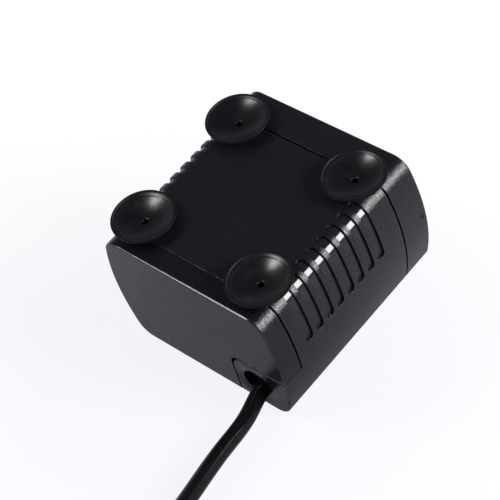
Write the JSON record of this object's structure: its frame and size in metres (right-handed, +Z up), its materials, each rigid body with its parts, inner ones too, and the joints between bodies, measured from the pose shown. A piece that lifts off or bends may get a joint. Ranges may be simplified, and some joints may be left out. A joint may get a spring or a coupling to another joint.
{
  "type": "internal power filter",
  "caption": "Submersible filter pump: boxy body with bulging grooved sides, suction cup feet, slotted intake cover with a flow dial, upright hose outlet and rear cable.",
  "frame": {"origin": "centre of the plane that the suction cup rims stand on", "axes": "+X to the right seen from the intake, +Y from the intake cover towards the cable end, +Z up along the outlet"},
  "size_m": [0.0671, 0.1187, 0.0593],
  "materials": {
    "housing_abs": "fine spark-eroded satin, black ABS",
    "control_abs": "smooth satin, black ABS",
    "cover_plate_abs": "smooth satin, black ABS",
    "cup_rubber": "soft satin black rubber",
    "seal_rubber": "matt black rubber",
    "foam": "open-cell charcoal foam",
    "impeller_pom": "smooth off-white moulding",
    "ferrite": "ground ferrite",
    "steel": "ground stainless bar",
    "lamination": "stacked stamped laminations",
    "bobbin_nylon": "natural nylon",
    "copper": "enamelled copper",
    "resin": "cast black resin",
    "cable_pvc": "glossy black soft PVC",
    "core_brown": "brown PVC insulation",
    "core_blue": "blue PVC insulation"
  },
  "bodies": {
    "pump": {"main_housing": "housing_abs", "rear_cap": "housing_abs", "chamber_cover": "cover_plate_abs", "suction_cup_front_left": "cup_rubber", "suction_cup_front_right": "cup_rubber", "suction_cup_rear_left": "cup_rubber", "suction_cup_rear_right": "cup_rubber", "chamber_seal": "seal_rubber", "front_bush": "seal_rubber", "rear_bush": "seal_rubber", "cable_gland": "seal_rubber", "rotor_shaft": "steel", "stator_core": "lamination", "upper_bobbin": "bobbin_nylon", "lower_bobbin": "bobbin_nylon", "upper_coil": "copper", "lower_coil": "copper", "conductor_live": "copper", "conductor_neutral": "copper", "potting_resin": "resin", "cable_sheath": "cable_pvc", "cable_core_live": "core_brown", "cable_core_neutral": "core_blue"},
    "rotor": {"impeller": "impeller_pom", "rotor_magnet": "ferrite"},
    "intake_cover": {"front_cover": "housing_abs", "filter_sponge": "foam"},
    "flow_dial": {"flow_dial": "control_abs"},
    "outlet": {"outlet_nozzle": "control_abs", "outlet_seal": "seal_rubber"}
  },
  "joints": [
    {"name": "rotor_spin", "type": "hinge", "parent": "pump", "child": "rotor", "pos_m": [-0.008, 0, 0.02475], "axis": [0, 1, 0], "continuous": true},
    {"name": "intake_cover_pull", "type": "slide", "parent": "pump", "child": "intake_cover", "axis": [0, -1, 0], "range_m": [0, 0.03]},
    {"name": "flow_dial_turn", "type": "hinge", "parent": "intake_cover", "child": "flow_dial", "pos_m": [0, -0.032, 0.02495], "axis": [0, -1, 0], "range_deg": [0, 30]},
    {"name": "outlet_nozzle_pull", "type": "slide", "parent": "pump", "child": "outlet", "axis": [0, 0, 1], "range_m": [0, 0.02]}
  ]
}
